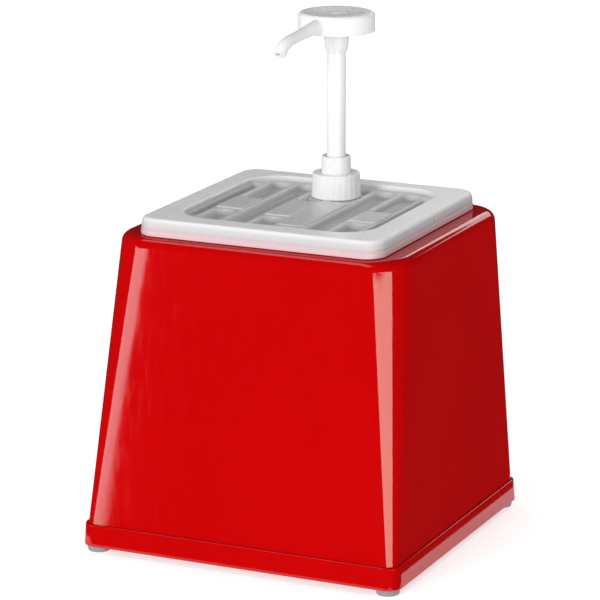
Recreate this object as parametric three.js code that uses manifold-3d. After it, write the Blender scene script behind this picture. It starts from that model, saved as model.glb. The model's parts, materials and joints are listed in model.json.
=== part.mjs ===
// Counter-top condiment pump dispenser.
// A tapered plastic housing carries a lift-out container. The container's lid has a recessed,
// ribbed panel and a threaded neck, and a hand pump is clamped on that neck by a screw cap.
// Millimetres, +Z up. The origin is the middle of the footprint, on the surface it stands on.
// The sloping front faces -Y and the pump stands near the upright back.

import * as THREE from "three";
import { mergeVertices } from "three/addons/utils/BufferGeometryUtils.js";
import Module from "manifold-3d";

const wasm = await Module();
wasm.setup();

// ---------------------------------------------------------------- driving dimensions

const GAP = 0.3; // clearance left between pieces that rest on each other

// feet
const FOOT_HEIGHT = 4.5;
const FOOT_RADIUS = 8;
const FOOT_TAPER = 0.5;
const FOOT_EDGE = 0.9;
const FOOT_STEM_RADIUS = 3;
const FOOT_BARB_RADIUS = 4.2;
const FOOT_BARB_LENGTH = 2.6;
const PAD_THICKNESS = 3;
const PAD_REACH = 24;

// housing
const BASE_WIDTH = 230;
const BASE_DEPTH = 220;
const BASE_CORNER = 10;
const SKIRT_TOP = 19.5;
const SKIRT_DRAFT = 1.2; // the skirt narrows by this much on each side over its height
const SKIRT_STEP = 1.7; // and stands proud of the wall by this much
const SKIRT_EDGE = 0.6;
const HOUSING_TOP = 213;
const TOP_WIDTH = 207;
const TOP_DEPTH = 190.5;
const TOP_SHIFT = 11.2; // the upright back puts the top's middle behind the base's
const TOP_CORNER = 28;
const TOP_FILLET = 7;
const LEAST_CORNER = 4;
const WALL = 3;
const OPENING_CLEARANCE = 2;
const RIM_DEPTH = 8; // a short collar hangs round the opening
const RIM_WALL = 2.5;

// container: widths are outside ones, and its depth is a little less
const BIN_Y = 8.7; // middle of the container and of its lid
const BIN_DEPTH_LESS = 1;
const BIN_BOTTOM = 72;
const BIN_WALL = 1.8;
const BIN_TOP = 222.8;
const BIN_FOOT = 136;
const BIN_FOOT_CORNER = 19;
const BIN_FOOT_FILLET = 7;
const BIN_MOUTH = 155.6;
const BIN_MOUTH_CORNER = 22;
const BIN_FLANGE = 169.4;
const BIN_FLANGE_CORNER = 13;
const BIN_EDGE = 1.2;
const LIP_BOTTOM = HOUSING_TOP + GAP;

// lid
const LID_WIDTH = 175;
const LID_DEPTH = 174;
const LID_CORNER = 14;
const LID_BOTTOM = 213.4;
const LID_TOP = 225;
const LID_WALL = 1.8;
const LID_FILLET = 3.2;
const LID_FLARE = 0.9; // the foot of the rim stands out by this much
const LID_FLARE_HEIGHT = 2;
const RECESS_WIDTH = 138;
const RECESS_DEPTH = 140;
const RECESS_Y = 10;
const RECESS_CORNER = 24;
const RECESS_DRAFT = 1;
const RECESS_FLOOR = 218;
const RIB_TOP = 222;
const RIB_WIDTH = 3.6;
const RIB_PITCH = 19.5;
const RIB_COUNT = 7;
const PAD_TOP = 221.4;

// the lid's boss and threaded neck, on the pump's axis
const PUMP_Y = 52.1;
const BOSS_RADIUS = 19.5;
const BOSS_TOP = 220.9;
const BOSS_EDGE = 0.8;
const NECK_RADIUS = 13.7;
const NECK_BORE = 12.2;
const NECK_TOP = 231.8;
const THREAD_BOTTOM = 223.6;
const THREAD_PITCH = 2.6;
const THREAD_TURNS = 3;
const THREAD_HEIGHT = 0.6;

// screw cap
const CAP_BOTTOM = 221.2;
const CAP_TOP = 237.8;
const CAP_RADIUS_BOTTOM = 16.9;
const CAP_RADIUS_TOP = 16.1;
const CAP_EDGE = 0.8;
const CAP_BORE = 14.7;
const CAP_ROOF = 1.2;
const CAP_BAND = 1.2; // plain bands above and below the grip
const CAP_RIBS = 36;
const CAP_RIB_HEIGHT = 0.35;

// pump body
const GASKET_TOP = 233.1;
const FLANGE_RADIUS = 14.2;
const FLANGE_BOTTOM = GASKET_TOP + GAP;
const FLANGE_TOP = 235;
const CYLINDER_RADIUS = 11.8;
const CYLINDER_BORE = 10.3;
const CYLINDER_FLOOR = 130;
const CYLINDER_SHOULDER = 120;
const WELL_RADIUS = 6.4;
const WELL_BORE = 4.2;
const WELL_BOTTOM = 116;
const SPIGOT_RADIUS = 4.6;
const SPIGOT_BORE = 2.6;
const SPIGOT_BOTTOM = 104;
const TUBE_BORE = 4.9;
const TUBE_RADIUS = 6.2;
const TUBE_BOTTOM = 78;
const TUBE_SLANT = -30; // degrees
const SLEEVE_RADIUS = 10; // the locking collar's
const SLEEVE_BORE_WIDE = 8.5;
const SLEEVE_BOTTOM = 228;
const SLEEVE_STEP = 232; // the seal's pocket ends here
const SLEEVE_TOP = 249.4;
const COLLAR_TOP = 236.3;
const SEAL_BORE = 6.6;
const SEAL_RADIUS = 8.2;
const SEAL_BOTTOM = 228.8;
const SEAL_TOP = 231.4;

// valves and spring
const INLET_SEAT = 120.5;
const INLET_BALL_RADIUS = 3.5;
const OUTLET_SEAT = 217.5;
const OUTLET_BORE = 1.9;
const OUTLET_BALL_RADIUS = 2.6;
const RETAINER_RADIUS = 9.9;
const RETAINER_THICKNESS = 1.7;
const RETAINER_HOLES = 3;
const SPRING_WIRE = 0.65;
const SPRING_RADIUS = 8.6;
const SPRING_TURNS = 8;

// piston and stem
const PISTON_BOTTOM = 214;
const PISTON_TOP = 226;
const PISTON_RADIUS = 10.2;
const PISTON_WAIST = 8.3;
const PISTON_LIP = 4.2;
const PISTON_EDGE = 0.8;
const PISTON_SEAL_HEIGHT = 1.4;
const PISTON_SEAL_WIDTH = 0.88;
const PLUG_RADIUS = 4.3;
const PLUG_BORE = 3.3;
const PLUG_TOP = 225;
const STEM_RADIUS = 6.5;
const STEM_BORE = 4.2;
const STEM_BOTTOM = 220;
const STEM_TOP = 333;
const STEM_EDGE = 0.6;

// head and nozzle
const HEAD_RADIUS = 26;
const HEAD_BOTTOM = 335;
const HEAD_TOP = 348;
const HEAD_WALL = 2;
const HEAD_ROOF = 2.6;
const HEAD_FILLET = 3.5;
const HEAD_DISH = 0.7;
const HEAD_BUTTON = 6;
const HEAD_NECK_RADIUS = 8.2;
const HEAD_NECK_BOTTOM = 321;
const HEAD_NECK_CHAMFER = 4;
const NOZZLE_ANGLE = -7.4; // degrees that the nozzle is turned from straight ahead
const NOZZLE_Z = 342;
const NOZZLE_ROOT_RADIUS = 4.9;
const NOZZLE_WAIST_RADIUS = 3.8;
const NOZZLE_WAIST = 0.575; // share of the nozzle's length
const NOZZLE_TIP_RADIUS = 4.3;
const NOZZLE_LIP_RADIUS = 4.7;
const NOZZLE_LIP_START = 0.975; // share of the nozzle's length
const NOZZLE_END = 1.6; // straight stretch after the bend
const NOZZLE_BORE = 2.7;
const RISER_BORE = 3.4;

// how finely round shapes are divided
const CORNER_STEPS = 5;
const ROUND = 30;
const ROUND_SMALL = 16;
const NOZZLE_STEPS = 14;
const QUARTER = Math.PI / 2;
const BEYOND = 1; // how far a cutter reaches past the face that it opens

// ---------------------------------------------------------------- solids

// A closed three.js geometry as a manifold-3d solid with its faces pointing out.
function solid(geometry) {
  const bare = geometry.clone();
  bare.deleteAttribute("normal");
  bare.deleteAttribute("uv");
  const merged = mergeVertices(bare, 1e-4);
  const triangles = [];
  for (let i = 0; i < merged.index.count; i += 3) {
    const [a, b, c] = [0, 1, 2].map((k) => merged.index.getX(i + k));
    if (a !== b && b !== c && c !== a) triangles.push(a, b, c);
  }
  const make = (triVerts) =>
    new wasm.Manifold(
      new wasm.Mesh({
        numProp: 3,
        vertProperties: new Float32Array(merged.attributes.position.array),
        triVerts: new Uint32Array(triVerts),
      }),
    );
  const made = make(triangles);
  return made.volume() > 0 ? made : make(triangles.reverse());
}

function geometryOf(body) {
  const mesh = body.getMesh();
  const geometry = new THREE.BufferGeometry();
  const positions = new Float32Array(mesh.numVert * 3);
  for (let i = 0; i < mesh.numVert; i++) {
    for (let k = 0; k < 3; k++) positions[i * 3 + k] = mesh.vertProperties[i * mesh.numProp + k];
  }
  geometry.setAttribute("position", new THREE.BufferAttribute(positions, 3));
  geometry.setIndex(Array.from(mesh.triVerts));
  return geometry;
}

const join = (first, ...others) => others.reduce((sum, other) => sum.add(other), first);
const cut = (first, ...others) => others.reduce((rest, other) => rest.subtract(other), first);
const mix = (a, b, t) => a + (b - a) * t;

// A rounded rectangle at height z, counter-clockwise from above.
function outline({ width, depth, y = 0, corner, z }) {
  const signs = [
    [1, 1],
    [-1, 1],
    [-1, -1],
    [1, -1],
  ];
  return signs.flatMap(([sx, sy], quarter) => {
    const cx = sx * (width / 2 - corner);
    const cy = y + sy * (depth / 2 - corner);
    return Array.from({ length: CORNER_STEPS + 1 }, (_, i) => {
      const angle = (quarter + i / CORNER_STEPS) * QUARTER;
      return new THREE.Vector3(cx + corner * Math.cos(angle), cy + corner * Math.sin(angle), z);
    });
  });
}

// A closed body through a stack of rings, with a flat cap on the first and on the last one.
// A stack that goes up the outside and down the inside makes a shell.
function loft(rings) {
  const count = rings[0].length;
  const index = [];
  for (let r = 0; r + 1 < rings.length; r++) {
    for (let i = 0; i < count; i++) {
      const next = (i + 1) % count;
      const [a, b] = [r * count + i, r * count + next];
      const [c, d] = [a + count, b + count];
      index.push(a, b, d, a, d, c);
    }
  }
  const flat = (ring) => ring.map((p) => new THREE.Vector2(p.x, p.y));
  for (const [a, b, c] of THREE.ShapeUtils.triangulateShape(flat(rings[0]), [])) index.push(a, c, b);
  const last = (rings.length - 1) * count;
  for (const [a, b, c] of THREE.ShapeUtils.triangulateShape(flat(rings.at(-1)), [])) {
    index.push(last + a, last + b, last + c);
  }
  return solid(new THREE.BufferGeometry().setFromPoints(rings.flat()).setIndex(index));
}

// A turned body about a line parallel to Z at (0, y), from [radius, z] points.
// A profile off the axis is closed on itself.
function turned(profile, y = PUMP_Y, segments = ROUND) {
  const points = profile.map(([radius, z]) => new THREE.Vector2(radius, z));
  const onAxis = profile[0][0] === 0 && profile.at(-1)[0] === 0;
  if (!onAxis) points.push(points[0].clone());
  const geometry = new THREE.LatheGeometry(points, segments);
  return solid(geometry.rotateX(QUARTER).translate(0, y, 0));
}

function rod(radius, low, high, segments = ROUND) {
  const profile = [
    [0, low],
    [radius, low],
    [radius, high],
    [0, high],
  ];
  return turned(profile, PUMP_Y, segments);
}

// A plain ring on the pump's axis.
function ring(bore, radius, low, high, segments = ROUND) {
  const profile = [
    [bore, low],
    [radius, low],
    [radius, high],
    [bore, high],
  ];
  return turned(profile, PUMP_Y, segments);
}

function block(x0, x1, y0, y1, z0, z1) {
  const box = new THREE.BoxGeometry(x1 - x0, y1 - y0, z1 - z0);
  return solid(box.translate((x0 + x1) / 2, (y0 + y1) / 2, (z0 + z1) / 2));
}

// ---------------------------------------------------------------- housing

// The wall's outline at height z, set in by some distance: the corners widen towards the top.
function wallOutline(z, inset) {
  const t = (z - SKIRT_TOP) / (HOUSING_TOP - SKIRT_TOP);
  const skirt = 2 * (SKIRT_DRAFT + SKIRT_STEP);
  return {
    width: mix(BASE_WIDTH - skirt, TOP_WIDTH, t) - 2 * inset,
    depth: mix(BASE_DEPTH - skirt, TOP_DEPTH, t) - 2 * inset,
    y: mix(0, TOP_SHIFT, t),
    corner: Math.max(mix(BASE_CORNER - SKIRT_STEP, TOP_CORNER, t) - inset, LEAST_CORNER),
    z,
  };
}

// Rings of the rounded edge between the wall and the top.
function topFillet(top, inset, radius) {
  const steps = 4;
  return Array.from({ length: steps + 1 }, (_, i) => {
    const angle = (i / steps) * QUARTER;
    const ringInset = inset + radius * (1 - Math.cos(angle));
    const z = top - radius * (1 - Math.sin(angle));
    return outline({ ...wallOutline(top - radius, ringInset), z });
  });
}

const skirtOutline = (z, inset) =>
  outline({ width: BASE_WIDTH - 2 * inset, depth: BASE_DEPTH - 2 * inset, corner: BASE_CORNER, z });

const openingOutline = (grow, z) =>
  outline({
    width: BIN_MOUTH + 2 * (OPENING_CLEARANCE + grow),
    depth: BIN_MOUTH - BIN_DEPTH_LESS + 2 * (OPENING_CLEARANCE + grow),
    y: BIN_Y,
    corner: BIN_MOUTH_CORNER + OPENING_CLEARANCE + grow,
    z,
  });

const footPlaces = {
  front_left: [-1, -1],
  front_right: [1, -1],
  rear_left: [-1, 1],
  rear_right: [1, 1],
};
const footX = BASE_WIDTH / 2 - BASE_CORNER;
const footY = BASE_DEPTH / 2 - BASE_CORNER;

// A square of floor in each corner, which the foot's stem is pushed through.
function cornerPad(sx, sy) {
  const byValue = (a, b) => a - b;
  const [x0, x1] = [sx * (BASE_WIDTH / 2 - PAD_REACH), (sx * BASE_WIDTH) / 2].sort(byValue);
  const [y0, y1] = [sy * (BASE_DEPTH / 2 - PAD_REACH), (sy * BASE_DEPTH) / 2].sort(byValue);
  const inside = loft([
    skirtOutline(FOOT_HEIGHT, WALL),
    skirtOutline(FOOT_HEIGHT + PAD_THICKNESS, WALL),
  ]);
  return block(x0, x1, y0, y1, FOOT_HEIGHT, FOOT_HEIGHT + PAD_THICKNESS).intersect(inside);
}

function footHole(sx, sy) {
  const radius = FOOT_STEM_RADIUS + GAP;
  const hole = new THREE.CylinderGeometry(radius, radius, 4 * PAD_THICKNESS, ROUND_SMALL);
  return solid(hole.rotateX(QUARTER).translate(sx * footX, sy * footY, FOOT_HEIGHT));
}

function housingShell() {
  const outside = loft([
    skirtOutline(FOOT_HEIGHT, 0),
    skirtOutline(SKIRT_TOP - SKIRT_EDGE, SKIRT_DRAFT),
    skirtOutline(SKIRT_TOP, SKIRT_DRAFT + SKIRT_EDGE),
    outline(wallOutline(SKIRT_TOP, 0)),
    ...topFillet(HOUSING_TOP, 0, TOP_FILLET),
  ]);
  const inside = loft([
    outline(wallOutline(FOOT_HEIGHT - BEYOND, WALL)),
    ...topFillet(HOUSING_TOP - WALL, WALL, TOP_FILLET - WALL),
  ]);
  const rim = loft([
    openingOutline(RIM_WALL, HOUSING_TOP - RIM_DEPTH),
    openingOutline(RIM_WALL, HOUSING_TOP - WALL / 2),
  ]);
  const opening = loft([
    openingOutline(0, HOUSING_TOP - RIM_DEPTH - BEYOND),
    openingOutline(0, HOUSING_TOP + BEYOND),
  ]);
  const corners = Object.values(footPlaces);
  const shell = cut(join(cut(outside, inside), rim), opening);
  const padded = join(shell, ...corners.map(([sx, sy]) => cornerPad(sx, sy)));
  return cut(padded, ...corners.map(([sx, sy]) => footHole(sx, sy)));
}

// A rubber foot: a tapered disc with a stem that is pushed through the pad and a barb above it.
function foot() {
  const under = FOOT_HEIGHT - GAP;
  const barb = FOOT_HEIGHT + PAD_THICKNESS + GAP;
  const profile = [
    [0, 0],
    [FOOT_RADIUS - FOOT_TAPER - FOOT_EDGE, 0],
    [FOOT_RADIUS - FOOT_TAPER, FOOT_EDGE],
    [FOOT_RADIUS, under],
    [FOOT_STEM_RADIUS, under],
    [FOOT_STEM_RADIUS, barb],
    [FOOT_BARB_RADIUS, barb],
    [FOOT_STEM_RADIUS, barb + FOOT_BARB_LENGTH],
    [0, barb + FOOT_BARB_LENGTH],
  ];
  return turned(profile, 0, ROUND_SMALL);
}

// ---------------------------------------------------------------- container

function binOutline(width, corner, z, inset = 0) {
  return outline({
    width: width - 2 * inset,
    depth: width - BIN_DEPTH_LESS - 2 * inset,
    y: BIN_Y,
    corner: corner - inset,
    z,
  });
}

// The rounded edge between the container's floor and walls, from the floor up.
function binFoot(inset) {
  const steps = 2;
  const radius = BIN_FOOT_FILLET - inset;
  return Array.from({ length: steps + 1 }, (_, i) => {
    const angle = (i / steps) * QUARTER;
    const z = BIN_BOTTOM + inset + radius * (1 - Math.cos(angle));
    return binOutline(BIN_FOOT, BIN_FOOT_CORNER, z, inset + radius * (1 - Math.sin(angle)));
  });
}

// An open tub with a turned-down flange, which hangs in the housing's opening.
function container() {
  const flange = (z, inset = 0) => binOutline(BIN_FLANGE, BIN_FLANGE_CORNER, z, inset);
  const mouth = (z, inset = 0) => binOutline(BIN_MOUTH, BIN_MOUTH_CORNER, z, inset);
  return loft([
    ...binFoot(0),
    mouth(BIN_TOP - BIN_WALL),
    flange(BIN_TOP - BIN_WALL, BIN_WALL),
    flange(LIP_BOTTOM, BIN_WALL),
    flange(LIP_BOTTOM),
    flange(BIN_TOP - BIN_EDGE),
    flange(BIN_TOP, BIN_EDGE),
    mouth(BIN_TOP, BIN_WALL - BIN_EDGE / 2),
    mouth(BIN_TOP - BIN_EDGE, BIN_WALL),
    ...binFoot(BIN_WALL).reverse(),
  ]);
}

// ---------------------------------------------------------------- lid

function lidOutline(inset, z) {
  return outline({
    width: LID_WIDTH - 2 * inset,
    depth: LID_DEPTH - 2 * inset,
    y: BIN_Y,
    corner: LID_CORNER - inset,
    z,
  });
}

function recessOutline(inset, z) {
  return outline({
    width: RECESS_WIDTH - 2 * inset,
    depth: RECESS_DEPTH - 2 * inset,
    y: RECESS_Y,
    corner: RECESS_CORNER - inset,
    z,
  });
}

function lidFillet() {
  const steps = 3;
  return Array.from({ length: steps + 1 }, (_, i) => {
    const angle = (i / steps) * QUARTER;
    const inset = LID_FLARE + LID_FILLET * (1 - Math.cos(angle));
    return lidOutline(inset, LID_TOP - LID_FILLET * (1 - Math.sin(angle)));
  });
}

// A thin tray: a rim that stands round the container's flange, and a sunken middle.
function lidPanel() {
  const under = LID_TOP - LID_WALL;
  return loft([
    recessOutline(RECESS_DRAFT - LID_WALL, RECESS_FLOOR - LID_WALL),
    recessOutline(-LID_WALL, under),
    lidOutline(LID_FLARE + LID_WALL, under),
    lidOutline(LID_FLARE + LID_WALL, LID_BOTTOM + LID_FLARE_HEIGHT),
    lidOutline(LID_WALL, LID_BOTTOM),
    lidOutline(0, LID_BOTTOM),
    lidOutline(0, LID_BOTTOM + LID_FLARE_HEIGHT),
    lidOutline(LID_FLARE, LID_BOTTOM + LID_FLARE_HEIGHT + LID_FLARE),
    ...lidFillet(),
    recessOutline(-RECESS_DRAFT, LID_TOP),
    recessOutline(0, LID_TOP - RECESS_DRAFT),
    recessOutline(RECESS_DRAFT, RECESS_FLOOR),
  ]);
}

const ribX = (i) => (i - (RIB_COUNT - 1) / 2) * RIB_PITCH;

// Parallel stiffening ribs, each running into the recess's front and back walls.
function lidRibs() {
  const half = RIB_WIDTH / 2;
  const reach = RECESS_DEPTH / 2;
  return Array.from({ length: RIB_COUNT }, (_, i) => {
    const [x0, x1] = [ribX(i) - half, ribX(i) + half];
    return block(x0, x1, RECESS_Y - reach, RECESS_Y + reach, RECESS_FLOOR - LID_WALL / 2, RIB_TOP);
  });
}

// Raised pads that bridge a bay between two ribs.
const PADS = [
  { bay: 0, front: -16, back: 19 },
  { bay: 2, front: -23, back: 24 },
  { bay: 3, front: -46, back: 30 },
  { bay: 5, front: -18, back: 14 },
];

const lidPads = () =>
  PADS.map(({ bay, front, back }) =>
    block(ribX(bay), ribX(bay + 1), front, back, RECESS_FLOOR - LID_WALL / 2, PAD_TOP),
  );

// The boss and the neck. The neck's thread is shown as separate rings.
function lidNeck() {
  const rings = Array.from({ length: THREAD_TURNS }, (_, i) => {
    const z = THREAD_BOTTOM + i * THREAD_PITCH;
    return [
      [NECK_RADIUS, z],
      [NECK_RADIUS + THREAD_HEIGHT, z + THREAD_HEIGHT],
      [NECK_RADIUS, z + 2 * THREAD_HEIGHT],
    ];
  });
  return turned([
    [0, RECESS_FLOOR - LID_WALL / 2],
    [BOSS_RADIUS, RECESS_FLOOR - LID_WALL / 2],
    [BOSS_RADIUS - BOSS_EDGE, BOSS_TOP - BOSS_EDGE],
    [BOSS_RADIUS - 2 * BOSS_EDGE, BOSS_TOP],
    [NECK_RADIUS, BOSS_TOP],
    ...rings.flat(),
    [NECK_RADIUS, NECK_TOP],
    [0, NECK_TOP],
  ]);
}

function lid() {
  const inRecess = loft([
    recessOutline(RECESS_DRAFT - LID_WALL / 2, RECESS_FLOOR - LID_WALL / 2),
    recessOutline(-LID_WALL / 2, LID_TOP - RECESS_DRAFT),
  ]);
  const ribs = join(...lidRibs(), ...lidPads()).intersect(inRecess);
  const relief = cut(ribs, rod(BOSS_RADIUS - BOSS_EDGE, BOSS_TOP - BOSS_EDGE, LID_TOP));
  const bore = rod(NECK_BORE, RECESS_FLOOR - 2 * LID_WALL, NECK_TOP + BEYOND);
  return cut(join(lidPanel(), relief, lidNeck()), bore);
}

// ---------------------------------------------------------------- pump body

// One ring of the cap's grip: a circle whose edge rises and falls as shallow upright ribs.
function gripRing(radius, z, height) {
  const count = 2 * CAP_RIBS;
  return Array.from({ length: count }, (_, i) => {
    const angle = (i / count) * 4 * QUARTER;
    const r = radius - (i % 2) * height;
    return new THREE.Vector3(r * Math.cos(angle), PUMP_Y + r * Math.sin(angle), z);
  });
}

function screwCap() {
  const bandBottom = CAP_BOTTOM + CAP_BAND;
  const outside = loft([
    gripRing(CAP_RADIUS_BOTTOM, CAP_BOTTOM, 0),
    gripRing(CAP_RADIUS_BOTTOM, bandBottom, 0),
    gripRing(CAP_RADIUS_BOTTOM, bandBottom + CAP_RIB_HEIGHT, CAP_RIB_HEIGHT),
    gripRing(CAP_RADIUS_TOP, CAP_TOP - CAP_BAND, CAP_RIB_HEIGHT),
    gripRing(CAP_RADIUS_TOP - CAP_EDGE, CAP_TOP, 0),
  ]);
  const roof = CAP_TOP - CAP_ROOF;
  return cut(
    outside,
    rod(CAP_BORE, CAP_BOTTOM - BEYOND, roof),
    rod(SLEEVE_RADIUS + GAP, roof - BEYOND, CAP_TOP + BEYOND),
  );
}

const neckGasket = () => ring(NECK_BORE, FLANGE_RADIUS, NECK_TOP + GAP, GASKET_TOP);

// The barrel: a flange that sits on the neck, a long bore, a well for the inlet ball and a spigot.
function pumpCylinder() {
  const outside = turned([
    [0, SPIGOT_BOTTOM],
    [SPIGOT_RADIUS, SPIGOT_BOTTOM],
    [SPIGOT_RADIUS, WELL_BOTTOM],
    [WELL_RADIUS, WELL_BOTTOM],
    [CYLINDER_RADIUS, CYLINDER_SHOULDER],
    [CYLINDER_RADIUS, FLANGE_BOTTOM],
    [FLANGE_RADIUS, FLANGE_BOTTOM],
    [FLANGE_RADIUS, FLANGE_TOP],
    [0, FLANGE_TOP],
  ]);
  const inside = turned([
    [0, SPIGOT_BOTTOM - BEYOND],
    [SPIGOT_BORE, SPIGOT_BOTTOM - BEYOND],
    [SPIGOT_BORE, INLET_SEAT],
    [WELL_BORE, INLET_SEAT],
    [WELL_BORE, CYLINDER_FLOOR],
    [CYLINDER_BORE, CYLINDER_FLOOR],
    [CYLINDER_BORE, FLANGE_TOP + BEYOND],
    [0, FLANGE_TOP + BEYOND],
  ]);
  return cut(outside, inside);
}

// The collar's flange is clamped under the cap; its sleeve guides the stem and stops the piston.
function lockingCollar() {
  const bore = STEM_RADIUS + GAP;
  const under = FLANGE_TOP + GAP;
  const edge = STEM_EDGE;
  return turned([
    [SLEEVE_BORE_WIDE, SLEEVE_BOTTOM],
    [SLEEVE_RADIUS, SLEEVE_BOTTOM],
    [SLEEVE_RADIUS, under],
    [FLANGE_RADIUS, under],
    [FLANGE_RADIUS, COLLAR_TOP],
    [SLEEVE_RADIUS, COLLAR_TOP],
    [SLEEVE_RADIUS, SLEEVE_TOP - edge],
    [SLEEVE_RADIUS - edge, SLEEVE_TOP],
    [bore + edge, SLEEVE_TOP],
    [bore, SLEEVE_TOP - 2 * edge],
    [bore, SLEEVE_STEP],
    [SLEEVE_BORE_WIDE, SLEEVE_STEP],
  ]);
}

// A soft ring with a lip below, in the collar's pocket.
function stemSeal() {
  const lip = (SEAL_BORE + SEAL_RADIUS) / 2;
  return turned([
    [SEAL_BORE, SEAL_BOTTOM + STEM_EDGE],
    [lip, SEAL_BOTTOM],
    [SEAL_RADIUS, SEAL_BOTTOM + STEM_EDGE],
    [SEAL_RADIUS, SEAL_TOP],
    [SEAL_BORE, SEAL_TOP],
  ]);
}

// The tube is pushed on the spigot and is cut at a slant just above the container's floor.
function dipTube() {
  const tube = ring(TUBE_BORE, TUBE_RADIUS, TUBE_BOTTOM, WELL_BOTTOM - GAP, ROUND_SMALL);
  const knife = new THREE.BoxGeometry(4 * TUBE_RADIUS, 4 * TUBE_RADIUS, TUBE_RADIUS);
  const tilted = knife.rotateX(THREE.MathUtils.degToRad(TUBE_SLANT));
  return cut(tube, solid(tilted.translate(0, PUMP_Y, TUBE_BOTTOM)));
}

// A disc with holes under the spring, which keeps the inlet ball in its well.
function ballRetainer() {
  const low = CYLINDER_FLOOR + GAP;
  const disc = rod(RETAINER_RADIUS, low, low + RETAINER_THICKNESS);
  const holes = Array.from({ length: RETAINER_HOLES }, (_, i) => {
    const angle = (i / RETAINER_HOLES) * 4 * QUARTER;
    const radius = RETAINER_THICKNESS;
    const hole = new THREE.CylinderGeometry(radius, radius, 4 * RETAINER_THICKNESS, ROUND_SMALL);
    const [x, y] = [WELL_BORE * Math.cos(angle), WELL_BORE * Math.sin(angle)];
    return solid(hole.rotateX(QUARTER).translate(x, PUMP_Y + y, low));
  });
  return cut(disc, ...holes);
}

// A ball that rests on the edge of a round seat.
function ball(radius, seatRadius, seat) {
  const z = seat + Math.sqrt(radius * radius - seatRadius * seatRadius) + GAP;
  const sphere = new THREE.SphereGeometry(radius, ROUND_SMALL, ROUND_SMALL / 2);
  return solid(sphere.rotateX(QUARTER).translate(0, PUMP_Y, z));
}

class Helix extends THREE.Curve {
  constructor(radius, low, high, turns) {
    super();
    Object.assign(this, { radius, low, high, turns });
  }

  getPoint(t, target = new THREE.Vector3()) {
    const angle = 4 * QUARTER * this.turns * t;
    const z = mix(this.low, this.high, t);
    return target.set(this.radius * Math.cos(angle), PUMP_Y + this.radius * Math.sin(angle), z);
  }
}

function returnSpring() {
  const low = CYLINDER_FLOOR + RETAINER_THICKNESS + 2 * GAP + SPRING_WIRE;
  const high = PISTON_BOTTOM - GAP - SPRING_WIRE;
  const wire = new THREE.Shape().absarc(0, 0, SPRING_WIRE, 0, 4 * QUARTER);
  const extrudePath = new Helix(SPRING_RADIUS, low, high, SPRING_TURNS);
  const options = { steps: SPRING_TURNS * 10, curveSegments: 3, bevelEnabled: false, extrudePath };
  return solid(new THREE.ExtrudeGeometry(wire, options));
}

// ---------------------------------------------------------------- piston and stem

// The piston has two wiping lips, a waist for the seal, and a plug that the stem turns on.
function piston() {
  const groove = STEM_BOTTOM - GAP;
  const lip = (end, towards) => [
    [PISTON_RADIUS - PISTON_EDGE, end],
    [PISTON_RADIUS, end + towards * PISTON_EDGE],
    [PISTON_RADIUS - GAP, end + towards * (PISTON_LIP - GAP)],
    [PISTON_WAIST, end + towards * PISTON_LIP],
  ];
  return turned([
    [OUTLET_BORE, PISTON_BOTTOM],
    ...lip(PISTON_BOTTOM, 1),
    ...lip(PISTON_TOP, -1).reverse(),
    [STEM_RADIUS + GAP, PISTON_TOP],
    [STEM_RADIUS + GAP, groove],
    [PLUG_RADIUS, groove],
    [PLUG_RADIUS, PLUG_TOP],
    [PLUG_BORE, PLUG_TOP],
    [PLUG_BORE, OUTLET_SEAT],
    [OUTLET_BORE, OUTLET_SEAT],
  ]);
}

function pistonSeal() {
  const sides = 8;
  const middle = (PISTON_BOTTOM + PISTON_TOP) / 2;
  const centre = PISTON_RADIUS - PISTON_SEAL_WIDTH - GAP / 6;
  const profile = Array.from({ length: sides }, (_, i) => {
    const angle = (i / sides) * 4 * QUARTER;
    return [
      centre + PISTON_SEAL_WIDTH * Math.cos(angle),
      middle + PISTON_SEAL_HEIGHT * Math.sin(angle),
    ];
  });
  return turned(profile);
}

function pumpStem() {
  const turningBore = PLUG_RADIUS + GAP;
  const neckBore = STEM_BORE / 2;
  const step = PLUG_TOP + 2 * GAP;
  return turned([
    [turningBore, STEM_BOTTOM],
    [STEM_RADIUS, STEM_BOTTOM],
    [STEM_RADIUS, STEM_TOP - STEM_EDGE],
    [STEM_RADIUS - STEM_EDGE, STEM_TOP],
    [STEM_BORE, STEM_TOP],
    [STEM_BORE, step + 2 * neckBore],
    [neckBore, step + neckBore],
    [neckBore, step],
    [turningBore, step],
  ]);
}

// ---------------------------------------------------------------- head

// The nozzle's centre line in its own upright plane: level inside the head, then falling a
// little, then bent down to its mouth. The channel's line runs on past the mouth.
function nozzlePath(past = 0) {
  const path = new THREE.CurvePath();
  const at = (reach, z) => new THREE.Vector3(reach, 0, z);
  const [start, rim, bend, aim, turn] = [
    at(2, NOZZLE_Z),
    at(20, NOZZLE_Z),
    at(57, NOZZLE_Z - 4.9),
    at(66.5, NOZZLE_Z - 6),
    at(70.6, NOZZLE_Z - 11.7),
  ];
  const down = turn.clone().sub(aim).normalize();
  const mouth = turn.clone().addScaledVector(down, NOZZLE_END + past);
  path.add(new THREE.LineCurve3(start, rim));
  path.add(new THREE.LineCurve3(rim, bend));
  path.add(new THREE.QuadraticBezierCurve3(bend, aim, turn));
  path.add(new THREE.LineCurve3(turn, mouth));
  return path;
}

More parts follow.
